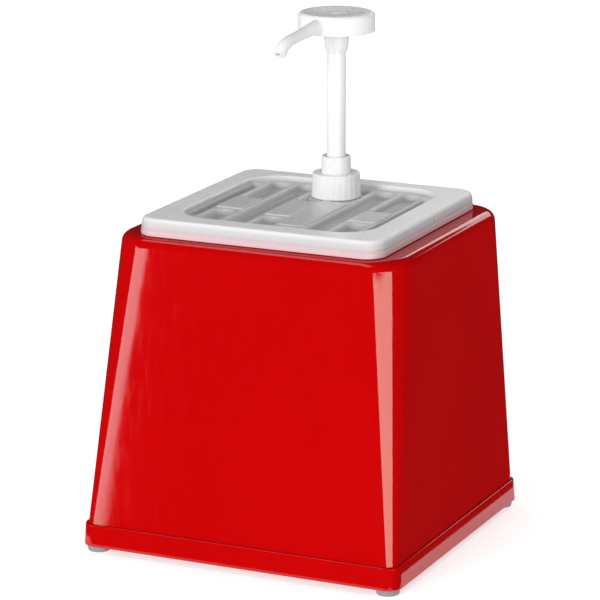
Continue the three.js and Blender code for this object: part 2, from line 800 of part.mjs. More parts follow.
// Rings that stand across a curve, closed by a fan of triangles at each end.
function tubeThrough(rings) {
  const count = rings[0].length;
  const sum = (ringPoints) => ringPoints.reduce((total, p) => total.add(p), new THREE.Vector3());
  const middle = (ringPoints) => sum(ringPoints).divideScalar(count);
  const points = [...rings.flat(), middle(rings[0]), middle(rings.at(-1))];
  const [start, end] = [points.length - 2, points.length - 1];
  const last = (rings.length - 1) * count;
  const index = [];
  for (let i = 0; i < count; i++) {
    const next = (i + 1) % count;
    for (let r = 0; r < last; r += count) {
      const [a, b, c, d] = [r + i, r + next, r + next + count, r + i + count];
      index.push(a, b, c, a, c, d);
    }
    index.push(start, next, i, end, last + i, last + next);
  }
  return solid(new THREE.BufferGeometry().setFromPoints(points).setIndex(index));
}

// A round tube along the nozzle's line, from one share of its length to another.
function nozzleTube(path, radiusAt, from, to, steps, segments) {
  const rings = [];
  for (let s = 0; s <= steps; s++) {
    const u = mix(from, to, s / steps);
    const centre = path.getPointAt(u);
    const along = path.getTangentAt(u);
    const up = new THREE.Vector3(-along.z, 0, along.x);
    rings.push(
      Array.from({ length: segments }, (_, i) => {
        const angle = (i / segments) * 4 * QUARTER;
        const point = centre.clone().addScaledVector(up, radiusAt(u) * Math.sin(angle));
        point.y += radiusAt(u) * Math.cos(angle);
        return point;
      }),
    );
  }
  return tubeThrough(rings);
}

function turnToNozzle(body) {
  const turn = new THREE.Matrix4().makeTranslation(0, PUMP_Y, 0);
  turn.multiply(new THREE.Matrix4().makeRotationZ(THREE.MathUtils.degToRad(NOZZLE_ANGLE - 90)));
  return body.transform(turn.toArray());
}

// The finger disc: hollow below, slightly dished above, with a low button in the middle.
function headDisc() {
  const steps = 3;
  const fillet = Array.from({ length: steps + 1 }, (_, i) => {
    const angle = (i / steps) * QUARTER;
    return [
      HEAD_RADIUS - HEAD_FILLET * (1 - Math.cos(angle)),
      HEAD_TOP - HEAD_FILLET * (1 - Math.sin(angle)),
    ];
  });
  const roof = HEAD_TOP - HEAD_ROOF;
  const inner = HEAD_RADIUS - HEAD_WALL;
  return turned([
    [0, roof],
    [inner - HEAD_WALL, roof],
    [inner, roof - HEAD_WALL],
    [inner, HEAD_BOTTOM],
    [HEAD_RADIUS, HEAD_BOTTOM],
    ...fillet,
    [HEAD_BUTTON + HEAD_FILLET, HEAD_TOP - HEAD_DISH],
    [HEAD_BUTTON, HEAD_TOP - HEAD_DISH],
    [HEAD_BUTTON - HEAD_DISH, HEAD_TOP - HEAD_DISH / 2],
    [0, HEAD_TOP - HEAD_DISH / 2],
  ]);
}

function headNeck() {
  return turned([
    [0, HEAD_NECK_BOTTOM],
    [STEM_RADIUS + 3 * GAP, HEAD_NECK_BOTTOM],
    [HEAD_NECK_RADIUS, HEAD_NECK_BOTTOM + HEAD_NECK_CHAMFER],
    [HEAD_NECK_RADIUS, HEAD_TOP - HEAD_ROOF / 2],
    [0, HEAD_TOP - HEAD_ROOF / 2],
  ]);
}

// Thick at the root, slimmest at the waist, a little wider again towards the mouth.
function nozzleRadius(u) {
  if (u < NOZZLE_WAIST) return mix(NOZZLE_ROOT_RADIUS, NOZZLE_WAIST_RADIUS, u / NOZZLE_WAIST);
  return mix(NOZZLE_WAIST_RADIUS, NOZZLE_TIP_RADIUS, (u - NOZZLE_WAIST) / (1 - NOZZLE_WAIST));
}

// The head is one moulding: disc, neck and nozzle, with a socket for the stem and a channel.
function pumpHead() {
  const flare = () => NOZZLE_LIP_RADIUS;
  const bore = () => NOZZLE_BORE;
  const arm = nozzleTube(nozzlePath(), nozzleRadius, 0, 1, NOZZLE_STEPS, ROUND_SMALL);
  const lip = nozzleTube(nozzlePath(), flare, NOZZLE_LIP_START, 1, 1, ROUND_SMALL);
  const channel = nozzleTube(nozzlePath(NOZZLE_BORE), bore, 0, 1, NOZZLE_STEPS, ROUND_SMALL / 2);
  const body = join(headDisc(), headNeck(), turnToNozzle(join(arm, lip)));
  const socket = rod(STEM_RADIUS + GAP, HEAD_NECK_BOTTOM - BEYOND, STEM_TOP + GAP);
  const riser = rod(RISER_BORE, STEM_TOP, NOZZLE_Z, ROUND_SMALL);
  return cut(body, socket, riser, turnToNozzle(channel));
}

// ---------------------------------------------------------------- assembly

const finishes = {
  housing: { color: 0xd10a0f, roughness: 0.16, metalness: 0 },
  rubber: { color: 0xa9abad, roughness: 0.75, metalness: 0 },
  clear: { color: 0xd6d6d6, roughness: 0.35, metalness: 0, transparent: true, opacity: 0.85 },
  white: { color: 0xf4f4f2, roughness: 0.35, metalness: 0 },
  seal: { color: 0xdcdcd8, roughness: 0.6, metalness: 0 },
  tube: { color: 0xe8e8e6, roughness: 0.4, metalness: 0 },
  steel: { color: 0xc4c6c8, roughness: 0.25, metalness: 1 },
};

const dispenser = new THREE.Group();

function add(name, body, finish, place = [0, 0, 0]) {
  const mesh = new THREE.Mesh(geometryOf(body), new THREE.MeshStandardMaterial(finishes[finish]));
  mesh.name = name;
  mesh.position.set(...place);
  dispenser.add(mesh);
}

add("housing_shell", housingShell(), "housing");
for (const [corner, [sx, sy]] of Object.entries(footPlaces)) {
  add(`foot_${corner}`, foot(), "rubber", [sx * footX, sy * footY, 0]);
}
add("container", container(), "clear");
add("lid", lid(), "clear");
add("screw_cap", screwCap(), "white");
add("neck_gasket", neckGasket(), "seal");
add("pump_cylinder", pumpCylinder(), "white");
add("locking_collar", lockingCollar(), "white");
add("stem_seal", stemSeal(), "seal");
add("dip_tube", dipTube(), "tube");
add("ball_retainer", ballRetainer(), "white");
add("return_spring", returnSpring(), "steel");
add("inlet_ball", ball(INLET_BALL_RADIUS, SPIGOT_BORE, INLET_SEAT), "steel");
add("piston", piston(), "white");
add("piston_seal", pistonSeal(), "seal");
add("outlet_ball", ball(OUTLET_BALL_RADIUS, OUTLET_BORE, OUTLET_SEAT), "steel");
add("pump_stem", pumpStem(), "white");
add("pump_head", pumpHead(), "white");

export default dispenser;
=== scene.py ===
"""Looks of the condiment pump dispenser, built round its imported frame.

Shapes are worked out in millimetres, in the frame's own axes: +Z up, the sloping front faces -Y.
Each CAD node is replaced by a finer mesh of the same size.
"""

import json
import math

import bmesh
import bpy
from mathutils import Matrix, Vector

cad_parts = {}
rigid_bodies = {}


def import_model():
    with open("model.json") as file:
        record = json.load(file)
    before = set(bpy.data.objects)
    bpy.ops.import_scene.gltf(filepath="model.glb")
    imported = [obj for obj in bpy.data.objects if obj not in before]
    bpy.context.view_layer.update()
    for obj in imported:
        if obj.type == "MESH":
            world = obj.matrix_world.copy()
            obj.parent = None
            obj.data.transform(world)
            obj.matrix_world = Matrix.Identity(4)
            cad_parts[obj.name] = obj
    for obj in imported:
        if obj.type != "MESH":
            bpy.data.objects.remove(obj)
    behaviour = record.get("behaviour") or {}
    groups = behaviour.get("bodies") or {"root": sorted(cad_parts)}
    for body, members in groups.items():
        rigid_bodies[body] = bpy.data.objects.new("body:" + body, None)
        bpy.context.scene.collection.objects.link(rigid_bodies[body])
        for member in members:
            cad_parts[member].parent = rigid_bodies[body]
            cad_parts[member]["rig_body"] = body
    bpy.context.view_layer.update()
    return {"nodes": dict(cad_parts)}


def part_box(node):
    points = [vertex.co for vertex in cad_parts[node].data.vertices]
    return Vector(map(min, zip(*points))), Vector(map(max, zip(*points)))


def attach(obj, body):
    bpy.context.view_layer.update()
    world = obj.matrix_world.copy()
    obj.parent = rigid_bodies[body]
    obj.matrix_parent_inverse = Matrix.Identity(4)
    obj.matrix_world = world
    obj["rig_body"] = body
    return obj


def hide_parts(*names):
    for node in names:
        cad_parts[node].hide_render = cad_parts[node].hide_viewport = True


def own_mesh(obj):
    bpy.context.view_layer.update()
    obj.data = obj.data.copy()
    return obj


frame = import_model()

MM = 0.001
TURN = 2 * math.pi
QUARTER = math.pi / 2


def node_box(node):
    """Lowest and highest corner of a CAD node, in millimetres."""
    low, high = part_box(node)
    return low / MM, high / MM


# ---------------------------------------------------------------- sizes taken from the frame

HOUSING_LOW, HOUSING_HIGH = node_box("housing_shell")
BIN_LOW, BIN_HIGH = node_box("container")
LID_LOW, LID_HIGH = node_box("lid")
CAP_LOW, CAP_HIGH = node_box("screw_cap")
GASKET_LOW, GASKET_HIGH = node_box("neck_gasket")
CYLINDER_LOW, CYLINDER_HIGH = node_box("pump_cylinder")
COLLAR_LOW, COLLAR_HIGH = node_box("locking_collar")
SEAL_LOW, SEAL_HIGH = node_box("stem_seal")
TUBE_LOW, TUBE_HIGH = node_box("dip_tube")
RETAINER_LOW, RETAINER_HIGH = node_box("ball_retainer")
SPRING_LOW, SPRING_HIGH = node_box("return_spring")
PISTON_LOW, PISTON_HIGH = node_box("piston")
PISTON_SEAL_LOW, PISTON_SEAL_HIGH = node_box("piston_seal")
STEM_LOW, STEM_HIGH = node_box("pump_stem")
HEAD_LOW, HEAD_HIGH = node_box("pump_head")

PUMP_Y = (STEM_LOW.y + STEM_HIGH.y) / 2
BIN_Y = (BIN_LOW.y + BIN_HIGH.y) / 2
BASE_WIDTH = HOUSING_HIGH.x - HOUSING_LOW.x
BASE_DEPTH = HOUSING_HIGH.y - HOUSING_LOW.y
HOUSING_BOTTOM = HOUSING_LOW.z
HOUSING_TOP = HOUSING_HIGH.z

# ---------------------------------------------------------------- other sizes, in millimetres

SKIRT_TOP = 19.5
SKIRT_DRAFT = 1.2
SKIRT_STEP = 1.7
BASE_CORNER = 10
TOP_WIDTH = 207
TOP_DEPTH = 190.5
TOP_SHIFT = 11.2
TOP_CORNER = 28
TOP_FILLET = 7
WALL = 3
RIM_DEPTH = 8
RIM_WALL = 2.5
OPENING_WIDTH = 159.6
OPENING_CORNER = 24
PAD_REACH = 24
PAD_THICKNESS = 3

BIN_MOUTH = 155.6
BIN_FOOT = 136
BIN_WALL = 1.8
BIN_LESS = 1

LID_TOP = 225
RECESS_WIDTH = 138
RECESS_DEPTH = 140
RECESS_Y = 10
RECESS_CORNER = 24
RECESS_FLOOR = 218
RIB_TOP = 222
PAD_HEIGHT = 0.7
CREST_WIDTH = 1.4
RIB_PITCH = 19.5
RIB_COUNT = 7
NECK_RADIUS = 13.7
NECK_BORE = 12.2
NECK_TOP = 231.8
THREAD_START = 223.6
THREAD_PITCH = 2.6
BOSS_RADIUS = 19.5
BOSS_TOP = 220.9

CAP_RIBS = 24
CAP_RIB_DIP = 0.18
CAP_BORE = 14.7
CYLINDER_RADIUS = 11.8
CYLINDER_BORE = 10.3
SLEEVE_RADIUS = 10
COLLAR_FLANGE = 235.3
COLLAR_FLANGE_TOP = 236.3
TUBE_RADIUS = 6.2
TUBE_BORE = 4.9
SPRING_WIRE = 0.65
SPRING_TURNS = 8
STEM_RADIUS = 6.5
HEAD_RADIUS = 26
HEAD_BOTTOM = 335
NOZZLE_ANGLE = -7.4
NOZZLE_Z = 342
NOZZLE_BEND = [(20, 0), (57, -4.9), (66.5, -6), (70.6, -11.7)]
NOZZLE_END = 1.6
NOZZLE_RADIUS = 3.75
NOZZLE_BORE = 2.7

CORNER_STEPS = 14
FLAT_STEPS = 6
ROUND = 96
ARC_STEPS = 6
ON_AXIS = 1e-6
SHARP_ANGLE = math.radians(32)
SMALLEST_EDGE = 0.02 * MM


# ---------------------------------------------------------------- mesh helpers


def soften(corners, closed=False, steps=ARC_STEPS):
    """Rounds a line of (u, v, radius) corners and returns its (u, v) points."""
    points = []
    count = len(corners)
    for i, (u, v, radius) in enumerate(corners):
        here = Vector((u, v))
        at_end = not closed and i in (0, count - 1)
        if radius == 0 or at_end:
            points.append(here)
            continue
        before = Vector(corners[i - 1][:2]) - here
        after = Vector(corners[(i + 1) % count][:2]) - here
        half = before.angle(after) / 2
        reach = min(radius / math.tan(half), 0.49 * before.length, 0.49 * after.length)
        start = here + before.normalized() * reach
        end = here + after.normalized() * reach
        centre = here + (before.normalized() + after.normalized()).normalized() * (reach / math.cos(half))
        first, last = start - centre, end - centre
        for step in range(steps + 1):
            spoke = first.lerp(last, step / steps).normalized() * first.length
            points.append(centre + spoke)
    return points


def rounded_rectangle(width, depth, y, corner, z, inset=0.0):
    """Points of a rounded rectangle at height z, counter-clockwise, with points along its flats too."""
    half_x = width / 2 - inset
    half_y = depth / 2 - inset
    radius = max(corner - inset, 0.4)
    ring = []
    for quarter, (sx, sy) in enumerate([(1, 1), (-1, 1), (-1, -1), (1, -1)]):
        centre = Vector((sx * (half_x - radius), y + sy * (half_y - radius), z))
        for step in range(CORNER_STEPS + 1):
            angle = (quarter + step / CORNER_STEPS) * QUARTER
            ring.append(centre + radius * Vector((math.cos(angle), math.sin(angle), 0)))
        angle = (quarter + 1) * QUARTER
        length = 2 * (half_x - radius) if quarter % 2 == 0 else 2 * (half_y - radius)
        along = Vector((-math.sin(angle), math.cos(angle), 0))
        last = ring[-1]
        for step in range(1, FLAT_STEPS):
            ring.append(last + along * length * (1 - math.cos(step / FLAT_STEPS * math.pi)) / 2)
    return ring


def new_object(name, bm):
    """A mesh object from a bmesh in millimetres, with doubles merged and its faces turned outwards."""
    bmesh.ops.remove_doubles(bm, verts=bm.verts, dist=1e-4)
    bmesh.ops.dissolve_degenerate(bm, edges=bm.edges, dist=1e-4)
    bmesh.ops.recalc_face_normals(bm, faces=bm.faces)
    bmesh.ops.scale(bm, vec=(MM, MM, MM), verts=bm.verts)
    mesh = bpy.data.meshes.new(name)
    bm.to_mesh(mesh)
    bm.free()
    piece = bpy.data.objects.new(name, mesh)
    bpy.context.scene.collection.objects.link(piece)
    return piece


def loft(name, rings, closed=False):
    """A closed body through a stack of rings: ends capped, or the last ring joined to the first."""
    bm = bmesh.new()
    loops = [[bm.verts.new(point) for point in ring] for ring in rings]
    pairs = list(zip(loops, loops[1:]))
    if closed:
        pairs.append((loops[-1], loops[0]))
    for lower, upper in pairs:
        for i in range(len(lower)):
            j = (i + 1) % len(lower)
            bm.faces.new((lower[i], lower[j], upper[j], upper[i]))
    if not closed:
        bm.faces.new(list(reversed(loops[0])))
        bm.faces.new(loops[-1])
    return new_object(name, bm)


def lathe(name, profile, y=PUMP_Y, x=0.0, segments=ROUND):
    """A turned body about a line parallel to Z. A profile off the axis is closed on itself."""
    points = [Vector(point) for point in profile]
    on_axis = points[0].x < ON_AXIS and points[-1].x < ON_AXIS
    bm = bmesh.new()
    loops = []
    for radius, z in points:
        if radius < ON_AXIS:
            loops.append([bm.verts.new((x, y, z))] * segments)
            continue
        loop = []
        for i in range(segments):
            angle = i / segments * TURN
            loop.append(bm.verts.new((x + radius * math.cos(angle), y + radius * math.sin(angle), z)))
        loops.append(loop)
    pairs = list(zip(loops, loops[1:]))
    if not on_axis:
        pairs.append((loops[-1], loops[0]))
    for lower, upper in pairs:
        for i in range(segments):
            j = (i + 1) % segments
            corners = dict.fromkeys((lower[i], lower[j], upper[j], upper[i]))
            if len(corners) > 2:
                bm.faces.new(list(corners))
    return new_object(name, bm)


def tube(name, path, radii, segments=48):
    """A closed round tube through points, with a radius at each of them."""
    bm = bmesh.new()
    loops = []
    for i, (point, radius) in enumerate(zip(path, radii)):
        along = (path[min(i + 1, len(path) - 1)] - path[max(i - 1, 0)]).normalized()
        side = along.cross(Vector((0, 0, 1))).normalized()
        up = side.cross(along)
        loop = []
        for k in range(segments):
            angle = k / segments * TURN
            loop.append(bm.verts.new(point + radius * (math.cos(angle) * side + math.sin(angle) * up)))
        loops.append(loop)
    for lower, upper in zip(loops, loops[1:]):
        for i in range(segments):
            j = (i + 1) % segments
            bm.faces.new((lower[i], lower[j], upper[j], upper[i]))
    bm.faces.new(loops[0])
    bm.faces.new(loops[-1])
    return new_object(name, bm)


def bake_modifiers(piece):
    """Replaces a piece's mesh by its evaluated one and drops its modifiers."""
    depsgraph = bpy.context.evaluated_depsgraph_get()
    mesh = bpy.data.meshes.new_from_object(piece.evaluated_get(depsgraph))
    piece.modifiers.clear()
    piece.data = mesh


def combine(piece, operation, *tools):
    """Joins tools to a piece, cuts them from it or keeps what they share, and removes the tools."""
    for tool in tools:
        step = piece.modifiers.new(operation, "BOOLEAN")
        step.operation = operation
        step.solver = "EXACT"
        step.object = tool
    bake_modifiers(piece)
    for tool in tools:
        bpy.data.objects.remove(tool)
    return piece


def finish_surface(piece, angle=SHARP_ANGLE):
    """Smooth shading with edges sharper than the angle kept crisp, weighted by face area."""
    bm = bmesh.new()
    bm.from_mesh(piece.data)
    bmesh.ops.remove_doubles(bm, verts=bm.verts, dist=SMALLEST_EDGE)
    bmesh.ops.dissolve_degenerate(bm, edges=bm.edges, dist=SMALLEST_EDGE)
    for face in bm.faces:
        face.smooth = True
    for edge in bm.edges:
        edge.smooth = edge.calc_face_angle(0) < angle
    bm.to_mesh(piece.data)
    bm.free()
    weighted = piece.modifiers.new("weighted_normals", "WEIGHTED_NORMAL")
    weighted.keep_sharp = True
    return piece


# ---------------------------------------------------------------- materials


class Surface:
    """A Principled material whose node links are made by short calls."""

    def __init__(self, name, **sockets):
        self.material = bpy.data.materials.new(name)
        self.material.use_nodes = True
        self.nodes = self.material.node_tree.nodes
        self.links = self.material.node_tree.links
        self.shader = self.nodes["Principled BSDF"]
        for socket, value in sockets.items():
            self.shader.inputs[socket.replace("_", " ")].default_value = value
        self.place = self.nodes.new("ShaderNodeTexCoord").outputs["Object"]

    def noise(self, scale, detail=3.0, stretch=(1, 1, 1)):
        mapping = self.nodes.new("ShaderNodeMapping")
        mapping.inputs["Scale"].default_value = stretch
        texture = self.nodes.new("ShaderNodeTexNoise")
        texture.inputs["Scale"].default_value = scale
        texture.inputs["Detail"].default_value = detail
        self.links.new(self.place, mapping.inputs["Vector"])
        self.links.new(mapping.outputs["Vector"], texture.inputs["Vector"])
        return texture.outputs["Fac"]

    def spread(self, value, low, high, start=0.3, end=0.7):
        """Maps a noise value from start..end to low..high."""
        change = self.nodes.new("ShaderNodeMapRange")
        for socket, number in zip(("From Min", "From Max", "To Min", "To Max"), (start, end, low, high)):
            change.inputs[socket].default_value = number
        self.links.new(value, change.inputs["Value"])
        return change.outputs["Result"]

    def blend(self, factor, first, second):
        """Mixes two colours, each a tuple or a socket."""
        mix = self.nodes.new("ShaderNodeMix")
        mix.data_type = "RGBA"
        self.links.new(factor, mix.inputs["Factor"])
        for socket, colour in zip((mix.inputs[6], mix.inputs[7]), (first, second)):
            if isinstance(colour, tuple):
                socket.default_value = (*colour, 1)
            else:
                self.links.new(colour, socket)
        return mix.outputs[2]

    def height(self):
        """The z coordinate, in metres."""
        split = self.nodes.new("ShaderNodeSeparateXYZ")
        self.links.new(self.place, split.inputs["Vector"])
        return split.outputs["Z"]

    def attribute(self, name):
        """A value stored on the mesh's points."""
        stored = self.nodes.new("ShaderNodeAttribute")
        stored.attribute_name = name
        return stored.outputs["Fac"]

    def drive(self, socket, value):
        self.links.new(value, self.shader.inputs[socket])

    def bump(self, *layers):
        """Layers of (height value, depth in metres, strength), from the coarsest to the finest."""
        normal = None
        for value, depth, strength in layers:
            node = self.nodes.new("ShaderNodeBump")
            node.inputs["Strength"].default_value = strength
            node.inputs["Distance"].default_value = depth
            self.links.new(value, node.inputs["Height"])
            if normal is not None:
                self.links.new(normal, node.inputs["Normal"])
            normal = node.outputs["Normal"]
        self.links.new(normal, self.shader.inputs["Normal"])


def housing_red():
    """Glossy moulded ABS: deep red, a faint waviness in its reflections, fine scuffs."""
    skin = Surface("housing_red", IOR=1.5, Coat_Weight=0.0)
    broad = skin.noise(9.0)
    scuffs = skin.noise(420.0, 2.0, (1, 1, 0.08))
    colour = skin.blend(skin.spread(broad, 0, 1), (0.435, 0.0004, 0.0008), (0.465, 0.0005, 0.001))
    skin.drive("Base Color", colour)
    skin.drive("Roughness", skin.spread(scuffs, 0.035, 0.1, 0.45, 0.85))
    skin.bump((skin.noise(14.0, 1.0), 0.0004, 0.06), (skin.noise(900.0, 2.0), 0.00001, 0.1))
    return skin.material


def foot_rubber():
    """Grey moulded rubber, darker in random patches where dirt gathers."""
    skin = Surface("foot_rubber", IOR=1.5)
    dust = skin.spread(skin.noise(260.0), 0, 1)
    skin.drive("Base Color", skin.blend(dust, (0.2, 0.2, 0.205), (0.27, 0.27, 0.275)))
    skin.drive("Roughness", skin.spread(dust, 0.55, 0.75, 0, 1))
    skin.bump((skin.noise(1800.0), 0.00005, 0.4))
    return skin.material


def clear_plastic(name, light, deep, with_painted_light=False):
    """Natural polypropylene: cloudy and lightly textured.

    One with painted light has painted shade, greyer in its channels and down its sides, where more
    of the light passes through, and a painted red cast from the housing at its foot.
    """
    skin = Surface(name, IOR=1.49)
    colour = skin.blend(skin.spread(skin.noise(38.0, 4.0), 0, 1), deep, light)
    if with_painted_light:
        # Painted shade: greyer down the lid's side, standing in for light passing through to the dark
        # inside.
        colour = skin.blend(skin.attribute("side"), colour, (0.5, 0.48, 0.49))
        # Painted light: a red cast near the lid's foot, standing in for red light from the housing.
        painted_red_cast = skin.spread(skin.height(), 0.85, 0, LID_LOW.z * MM, (LID_LOW.z + 6.5) * MM)
        colour = skin.blend(painted_red_cast, colour, (0.76, 0.43, 0.48))
        # Painted shade: the lid reads greyer the deeper a point lies in the tray.
        colour = skin.blend(skin.attribute("painted_recess_shade"), colour, (0.4, 0.4, 0.405))
    skin.drive("Base Color", colour)
    skin.drive("Roughness", skin.spread(skin.noise(160.0), 0.26, 0.38))
    skin.bump((skin.noise(60.0, 2.0), 0.0003, 0.15), (skin.noise(1500.0), 0.00002, 0.1))
    return skin.material


def pump_white():
    """White polypropylene with a satin gloss and faint flow marks."""
    skin = Surface("pump_white", IOR=1.49)
    flow = skin.spread(skin.noise(70.0, 3.0, (1, 1, 0.4)), 0, 1)
    skin.drive("Base Color", skin.blend(flow, (0.8, 0.8, 0.8), (0.84, 0.84, 0.84)))
    skin.drive("Roughness", skin.spread(skin.noise(240.0), 0.24, 0.34))
    skin.bump((skin.noise(900.0), 0.00002, 0.08))
    return skin.material


def seal_soft():
    """Soft translucent elastomer, matte with a powdery skin."""
    skin = Surface("seal_soft", IOR=1.45)
    skin.drive("Base Color", skin.blend(skin.noise(300.0), (0.66, 0.66, 0.63), (0.74, 0.74, 0.71)))
    skin.drive("Roughness", skin.spread(skin.noise(700.0), 0.5, 0.65))
    skin.bump((skin.noise(1600.0), 0.00004, 0.3))
    return skin.material


def steel():
    """Drawn and polished stainless steel, with fine marks round it."""
    skin = Surface("steel", Metallic=1.0)
    marks = skin.noise(500.0, 2.0, (0.2, 0.2, 3))
    skin.drive("Base Color", skin.blend(skin.noise(90.0), (0.55, 0.55, 0.56), (0.66, 0.66, 0.66)))
    skin.drive("Roughness", skin.spread(marks, 0.16, 0.32))
    skin.bump((marks, 0.00002, 0.3))
    return skin.material


def floor_white():
    """A plain matt white board, faintly lit from below."""
    skin = Surface("floor_white", Roughness=0.9, Specular_IOR_Level=0.1, Emission_Strength=0.56)
    skin.shader.inputs["Emission Color"].default_value = (1, 1, 1, 1)
    skin.drive("Base Color", skin.blend(skin.noise(3.0), (0.82, 0.82, 0.82), (0.84, 0.84, 0.84)))
    return skin.material


MATERIALS = {
    "housing_red": housing_red(),
    "foot_rubber": foot_rubber(),
    "container_clear": clear_plastic("container_clear", (0.66, 0.66, 0.67), (0.6, 0.6, 0.61)),
    "lid_clear": clear_plastic("lid_clear", (0.9, 0.9, 0.905), (0.86, 0.86, 0.865), with_painted_light=True),
    "pump_white": pump_white(),
    "seal_soft": seal_soft(),
    "tube_clear": clear_plastic("tube_clear", (0.74, 0.74, 0.74), (0.68, 0.68, 0.68)),
    "steel": steel(),
}


def place(piece, node, slot):
    """Gives a finished piece its material and the body it rides on, and hides the CAD node it stands for.
    """
    piece.data.materials.clear()
    piece.data.materials.append(MATERIALS[slot])
    body = frame["nodes"][node]["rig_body"]
    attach(piece, body)
    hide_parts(node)


# ---------------------------------------------------------------- housing


def wall_ring(z, inset, outline_z=None):
    """The housing wall's outline at a height, set in: its corners widen towards the top."""
    share = ((z if outline_z is None else outline_z) - SKIRT_TOP) / (HOUSING_TOP - SKIRT_TOP)
    skirt = 2 * (SKIRT_DRAFT + SKIRT_STEP)
    width = BASE_WIDTH - skirt + share * (TOP_WIDTH - BASE_WIDTH + skirt)
    depth = BASE_DEPTH - skirt + share * (TOP_DEPTH - BASE_DEPTH + skirt)
    corner = BASE_CORNER - SKIRT_STEP + share * (TOP_CORNER - BASE_CORNER + SKIRT_STEP)
    return rounded_rectangle(width, depth, share * TOP_SHIFT, corner, z, inset)


def opening_ring(z, grow=0.0):
    return rounded_rectangle(OPENING_WIDTH, OPENING_WIDTH - BIN_LESS, BIN_Y, OPENING_CORNER, z, -grow)


def fillet_rings(top, inset, radius, steps=10):
    """Rings of the rounded edge at the top of a wall."""
    rings = []
    for step in range(steps + 1):
        angle = step / steps * QUARTER
        z = top - radius * (1 - math.sin(angle))
        rings.append(wall_ring(z, inset + radius * (1 - math.cos(angle)), top - radius))
    return rings


def housing_rings():
    base = dict(width=BASE_WIDTH, depth=BASE_DEPTH, y=0, corner=BASE_CORNER)
    skirt_side = [
        (WALL, HOUSING_BOTTOM, 0),
        (0, HOUSING_BOTTOM, 0.7),
        (SKIRT_DRAFT, SKIRT_TOP, 0.8),
        (SKIRT_DRAFT + SKIRT_STEP, SKIRT_TOP, 0),
    ]
    skirt = [rounded_rectangle(z=z, inset=inset, **base) for inset, z in soften(skirt_side)]
    wall_z = [SKIRT_TOP + 0.4, 60, 110, 160]
    wall = [wall_ring(z, 0) for z in wall_z]
    lip = [
        opening_ring(HOUSING_TOP, 1.0),
        opening_ring(HOUSING_TOP - 0.3, 0.3),
        opening_ring(HOUSING_TOP - 1),
    ]
    under = HOUSING_TOP - WALL
    rim = [
        opening_ring(HOUSING_TOP - RIM_DEPTH),
        opening_ring(HOUSING_TOP - RIM_DEPTH, RIM_WALL),
        opening_ring(under, RIM_WALL),
    ]
    inner_fillet = list(reversed(fillet_rings(under, WALL, TOP_FILLET - WALL)))
    inner = [wall_ring(z, WALL) for z in reversed(wall_z)]
    return skirt + wall + fillet_rings(HOUSING_TOP, 0, TOP_FILLET) + lip + rim + inner_fillet + inner


def corner_pad(sx, sy):
    """The square of floor in a corner that a foot's stem is pushed through."""
    inset = WALL - 0.5
    side = PAD_REACH - inset
    middle_x = sx * (BASE_WIDTH / 2 - inset - side / 2)
    middle_y = sy * (BASE_DEPTH / 2 - inset - side / 2)
    rings = []
    for z in (HOUSING_BOTTOM + 0.2, HOUSING_BOTTOM + PAD_THICKNESS):
        ring = rounded_rectangle(side, side, 0, 5, z)
        rings.append([point + Vector((middle_x, middle_y, 0)) for point in ring])
    return loft("pad", rings)


def make_housing():
    housing = loft("housing", housing_rings(), closed=True)
    pads = [corner_pad(sx, sy) for sx in (-1, 1) for sy in (-1, 1)]
    combine(housing, "UNION", *pads)
    place(finish_surface(housing), "housing_shell", "housing_red")


def make_foot(node):
    low, high = node_box(node)
    middle = (low + high) / 2
    radius = (high.x - low.x) / 2
    under = HOUSING_BOTTOM - 0.3
    barb = HOUSING_BOTTOM + PAD_THICKNESS + 0.3
    profile = soften(
        [
            (0, 0.5, 0),
            (radius - 4.5, 0.5, 0.3),
            (radius - 4.2, 0, 0.3),
            (radius - 0.5, 0, 0.9),
            (radius, under, 0.5),
            (3, under, 0),
            (3, barb, 0),
            (4.2, barb, 0.3),
            (3, high.z, 0.5),
            (0, high.z, 0),
        ]
    )
    foot = lathe(node + "_rubber", profile, middle.y, middle.x, 48)
    place(finish_surface(foot), node, "foot_rubber")


# ---------------------------------------------------------------- container


def bin_ring(width, corner, z, inset=0.0):
    return rounded_rectangle(width, width - BIN_LESS, BIN_Y, corner, z, inset)


def bin_foot(inset, steps=8):
    """The rounded edge between the container's floor and its walls, from the floor up."""
    radius = 7 - inset
    rings = []
    for step in range(steps + 1):
        angle = step / steps * QUARTER
        z = BIN_LOW.z + inset + radius * (1 - math.cos(angle))
        rings.append(bin_ring(BIN_FOOT, 19, z, inset + radius * (1 - math.sin(angle))))
    return rings


def make_container():
    flange = BIN_HIGH.x - BIN_LOW.x
    top = BIN_HIGH.z
    lip = 213.3
    rings = [
        *bin_foot(0),
        bin_ring(BIN_MOUTH, 22, top - BIN_WALL - 2),
        bin_ring(BIN_MOUTH, 22, top - BIN_WALL, -0.6),
        bin_ring(flange, 13, top - BIN_WALL, BIN_WALL),
        bin_ring(flange, 13, lip, BIN_WALL),
        bin_ring(flange, 13, lip),
        bin_ring(flange, 13, top - 1.6),
        bin_ring(flange, 13, top - 0.4, 0.4),
        bin_ring(flange, 13, top, 1.4),
        bin_ring(BIN_MOUTH, 22, top, BIN_WALL - 1.2),
        bin_ring(BIN_MOUTH, 22, top - 0.5, BIN_WALL - 0.2),
        bin_ring(BIN_MOUTH, 22, top - 1.6, BIN_WALL),
        *reversed(bin_foot(BIN_WALL)),
    ]
    tub = loft("container_tub", rings)
    place(finish_surface(tub), "container", "container_clear")


# ---------------------------------------------------------------- lid

# Raised pads bridge the bay between two ribs: bay, front, back.
LID_PADS = {0: (-16, 19), 2: (-23, 24), 3: (-46, 30), 5: (-18, 14)}


def lid_ring(z, inset):
    width = LID_HIGH.x - LID_LOW.x
    depth = LID_HIGH.y - LID_LOW.y
    return rounded_rectangle(width, depth, BIN_Y, 14, z, inset)


def recess_ring(z, inset):
    return rounded_rectangle(RECESS_WIDTH, RECESS_DEPTH, RECESS_Y, RECESS_CORNER, z, inset)


